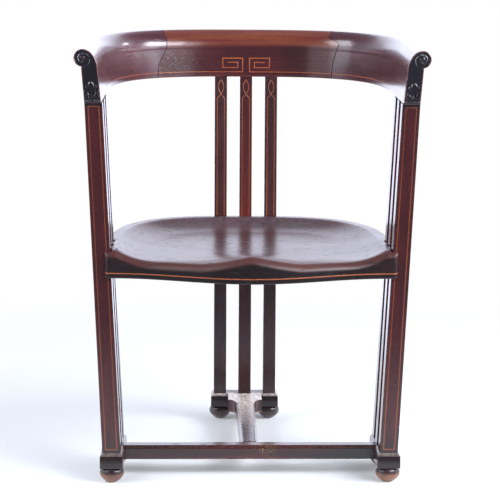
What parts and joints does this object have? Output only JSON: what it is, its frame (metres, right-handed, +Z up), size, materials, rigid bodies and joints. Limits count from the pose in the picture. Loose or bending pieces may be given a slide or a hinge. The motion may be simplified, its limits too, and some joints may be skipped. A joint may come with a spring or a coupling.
{
  "type": "barrel back armchair",
  "caption": "Barrel-back armchair: leaning square posts on plinths with bun feet carry a dished seat and a rolled horseshoe rail with inlaid stringing.",
  "frame": {"origin": "on the floor, under the middle of the chair's outline", "axes": "+Z up, +Y towards the back of the chair, +X towards the right as seen from the front"},
  "size_m": [0.6092, 0.5789, 0.7879],
  "materials": {
    "polished_mahogany": "french polished",
    "dark_mahogany": "french polished, darkened",
    "worn_mahogany": "worn polish",
    "stringing": "inlaid and polished",
    "beech": "plain",
    "steel": "plain"
  },
  "bodies": {
    "root": {"crest_rail": "polished_mahogany", "arm_rail_left": "dark_mahogany", "arm_rail_right": "dark_mahogany", "rail_dowel_left_lower": "beech", "rail_dowel_left_upper": "beech", "rail_dowel_right_lower": "beech", "rail_dowel_right_upper": "beech", "front_leg_left": "polished_mahogany", "front_leg_right": "polished_mahogany", "middle_post_left": "polished_mahogany", "middle_post_right": "polished_mahogany", "rear_post_left": "polished_mahogany", "rear_post_right": "polished_mahogany", "back_post_left": "polished_mahogany", "back_post_center": "polished_mahogany", "back_post_right": "polished_mahogany", "seat": "polished_mahogany", "plinth_left": "polished_mahogany", "plinth_right": "polished_mahogany", "plinth_back": "polished_mahogany", "foot_left_front": "worn_mahogany", "foot_left_rear": "worn_mahogany", "foot_right_front": "worn_mahogany", "foot_right_rear": "worn_mahogany", "foot_back_left": "worn_mahogany", "foot_back_right": "worn_mahogany", "cross_stretcher": "polished_mahogany", "stem_stretcher": "polished_mahogany", "leg_stringing_left": "stringing", "leg_stringing_right": "stringing", "back_stringing_left": "stringing", "back_stringing_center": "stringing", "back_stringing_right": "stringing", "seat_stringing": "stringing", "arm_stringing_left": "stringing", "arm_stringing_right": "stringing", "crest_stringing_left": "stringing", "crest_stringing_right": "stringing", "seat_screw_front_leg_left": "steel", "seat_screw_front_leg_right": "steel", "seat_screw_middle_post_left": "steel", "seat_screw_middle_post_right": "steel", "seat_screw_rear_post_left": "steel", "seat_screw_rear_post_right": "steel", "seat_screw_back_post_left": "steel", "seat_screw_back_post_center": "steel", "seat_screw_back_post_right": "steel", "pellet_front_leg_left": "polished_mahogany", "pellet_front_leg_right": "polished_mahogany", "pellet_middle_post_left": "polished_mahogany", "pellet_middle_post_right": "polished_mahogany", "pellet_rear_post_left": "polished_mahogany", "pellet_rear_post_right": "polished_mahogany", "pellet_back_post_left": "polished_mahogany", "pellet_back_post_center": "polished_mahogany", "pellet_back_post_right": "polished_mahogany"}
  },
  "joints": []
}
